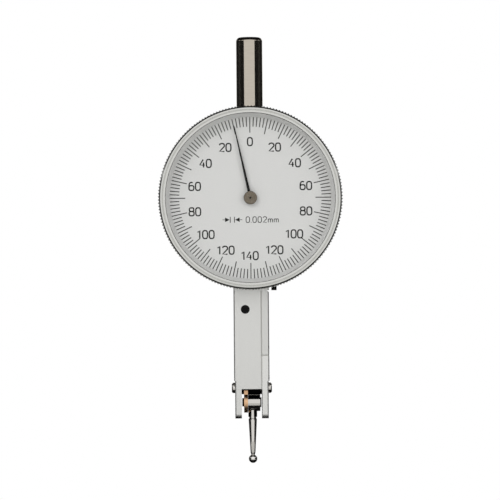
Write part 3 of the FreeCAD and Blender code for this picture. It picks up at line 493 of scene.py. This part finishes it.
burnished_steel, burnished_shader = surface("burnished_steel", "d2cfca", 1.0, 0.09)
grain(burnished_steel, burnished_shader, 0.12 * mm, 0.0004 * mm, tones=("cbc8c3", "d9d6d1"))
ball_r = 0.98 * mm
ball_z = float(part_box("stylus_ball")[0].z) + ball_r
seat_z = ball_z + 9.5 * mm
stylus_x = float(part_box("stylus")[0].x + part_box("stylus")[1].x) / 2
throat_r, taper_foot_r, taper_top_r = 0.38 * mm, 0.57 * mm, 0.96 * mm
collar_r, tang_r, tang_length = 0.80 * mm, 0.5 * mm, 1.1 * mm
point_profile = [(0.0, ball_z + 0.5 * mm), (throat_r, ball_z + 0.5 * mm),
                 (throat_r + 0.01 * mm, ball_z + 0.87 * mm), (taper_foot_r - 0.03 * mm, ball_z + 1.3 * mm),
                 (taper_foot_r, ball_z + 1.45 * mm), (taper_top_r, seat_z - 0.52 * mm),
                 (taper_top_r - 0.03 * mm, seat_z - 0.42 * mm), (collar_r, seat_z - 0.33 * mm),
                 (collar_r, seat_z), (tang_r, seat_z), (tang_r, seat_z + tang_length),
                 (0.0, seat_z + tang_length)]
polished_point = turned("polished_point", point_profile, 96, (stylus_x, 0.0, 0.0), "z", burnished_steel)
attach(polished_point, "stylus")
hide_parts("stylus")
finish_with(burnished_steel, "stylus_hub", "pivot_screw_left", "pivot_screw_right")


# --- Ball of the stylus -------------------------------------------------------------------
# Sintered tungsten carbide, lapped to a mirror and brazed on the point; it is the only piece that touches
# the work.

carbide, carbide_shader = surface("lapped_tungsten_carbide", "e6e4e0", 1.0, 0.06)
grain(carbide, carbide_shader, 0.05 * mm, 0.0001 * mm, tones=("e2e0dc", "eae8e4"))
ball_profile = [(0.0, -ball_r), *rounded((0.0, 0.0), ball_r, -86.0, 86.0, 40), (0.0, ball_r)]
lapped_ball = turned("lapped_ball", ball_profile, 96, (stylus_x, 0.0, ball_z), "z", carbide)
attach(lapped_ball, "stylus")
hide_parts("stylus_ball")


# --- Studio -------------------------------------------------------------------------------
# A pale table well below the hanging indicator, white paper all round, two soft lamps in front and one
# at each side, and dark flags at the sides, above and below that give the polished parts dark edges.


def sheet_of(name, corners, material):
    """A flat four-cornered sheet."""
    mesh = bpy.data.meshes.new(name)
    mesh.from_pydata(corners, [], [(0, 1, 2, 3)])
    mesh.materials.append(material)
    made = bpy.data.objects.new(name, mesh)
    bpy.context.scene.collection.objects.link(made)
    return made


table_r, table_z = 0.3, -0.115
table_paint, _ = surface("pale_table_paint", "f2f2f0", 0.0, 0.7)
around = np.radians(np.arange(96) * 360.0 / 96)
table_mesh = bpy.data.meshes.new("table")
table_edge = np.stack([table_r * np.cos(around), table_r * np.sin(around), table_z + 0 * around], 1)
table_mesh.from_pydata(table_edge.tolist(), [], [tuple(range(96))])
table_mesh.materials.append(table_paint)
table = bpy.data.objects.new("table", table_mesh)
bpy.context.scene.collection.objects.link(table)

flag_cloth, _ = surface("black_flag_cloth", "0a0a0a", 0.0, 0.9)
flag_away, flag_foot, flag_head = 0.6, -0.27, 0.15
flags = []
for side in (-1, 1):
    turns = [side * math.radians(v) for v in (47.0, 65.0, 90.0, 115.0, 135.0, 155.0)]
    for n, (a, b) in enumerate(zip(turns, turns[1:])):
        near, far = ((flag_away * math.sin(t), -flag_away * math.cos(t)) for t in (a, b))
        corners = [(*near, flag_foot), (*far, flag_foot), (*far, flag_head), (*near, flag_head)]
        flags.append(sheet_of(f"flag_{'left' if side < 0 else 'right'}_{n}", corners, flag_cloth))
for name, half_x, front, back, z in (("flag_below", 0.28, -0.055, 0.20, -0.108),
                                     ("flag_above", 0.40, -0.14, 0.30, 0.12)):
    corners = [(-half_x, front, z), (half_x, front, z), (half_x, back, z), (-half_x, back, z)]
    flags.append(sheet_of(name, corners, flag_cloth))
for flag in flags:
    flag.visible_camera = flag.visible_diffuse = flag.visible_shadow = False
    flag.visible_transmission = False

world = bpy.data.worlds.new("white_paper")
bpy.context.scene.world = world
world.use_nodes = True
sky = world.node_tree.nodes["Background"]
sky.inputs["Color"].default_value = (1.0, 1.0, 1.0, 1.0)
rays = add(world, "ShaderNodeLightPath")
seen = add(world, "ShaderNodeMath", {"operation": "MAXIMUM"},
           {0: rays.outputs["Is Camera Ray"], 1: rays.outputs["Is Glossy Ray"]})
seen = add(world, "ShaderNodeMath", {"operation": "MAXIMUM"},
           {0: seen.outputs[0], 1: rays.outputs["Is Transmission Ray"]})
level = add(world, "ShaderNodeMapRange", None,
            {"Value": seen.outputs[0], "To Min": 0.6, "To Max": 1.0})
world.node_tree.links.new(level.outputs["Result"], sky.inputs["Strength"])

lamp_width, lamp_target = 0.5, (0.0, 0.0, -0.03)
# The two side lamps stand behind the flags, which cast no shadow: they light the satin flanks while the
# polished parts still mirror the flags.
for name, place, power, mirrored in (("lamp_left", (-0.45, -0.75, 0.45), 2.1, False),
                                     ("lamp_right", (0.55, -0.7, 0.1), 1.1, False),
                                     ("side_lamp_left", (-1.0, 0.12, 0.02), 1.0, True),
                                     ("side_lamp_right", (1.0, 0.12, 0.02), 1.0, True)):
    lamp = bpy.data.lights.new(name, "AREA")
    lamp.shape, lamp.size, lamp.energy = "DISK", lamp_width, power
    holder = bpy.data.objects.new(name, lamp)
    holder.location = place
    aim = np.array(lamp_target) - np.array(place)
    holder.rotation_euler = (math.pi - math.acos(aim[2] / np.linalg.norm(aim)), 0.0,
                             math.atan2(aim[1], aim[0]) - math.pi / 2)
    holder.visible_glossy = mirrored
    holder.visible_camera = False
    bpy.context.scene.collection.objects.link(holder)

lens = bpy.data.cameras.new("camera")
lens.lens, lens.sensor_width = 237.6, 36.0
lens.clip_start, lens.clip_end = 0.05, 10.0
camera = bpy.data.objects.new("camera", lens)
camera.location = (-0.000175, -0.75, -0.0273)
camera.rotation_euler = (math.pi / 2, math.radians(0.46), 0.0)
bpy.context.scene.collection.objects.link(camera)
bpy.context.scene.camera = camera
bpy.context.scene.view_settings.view_transform = "Standard"
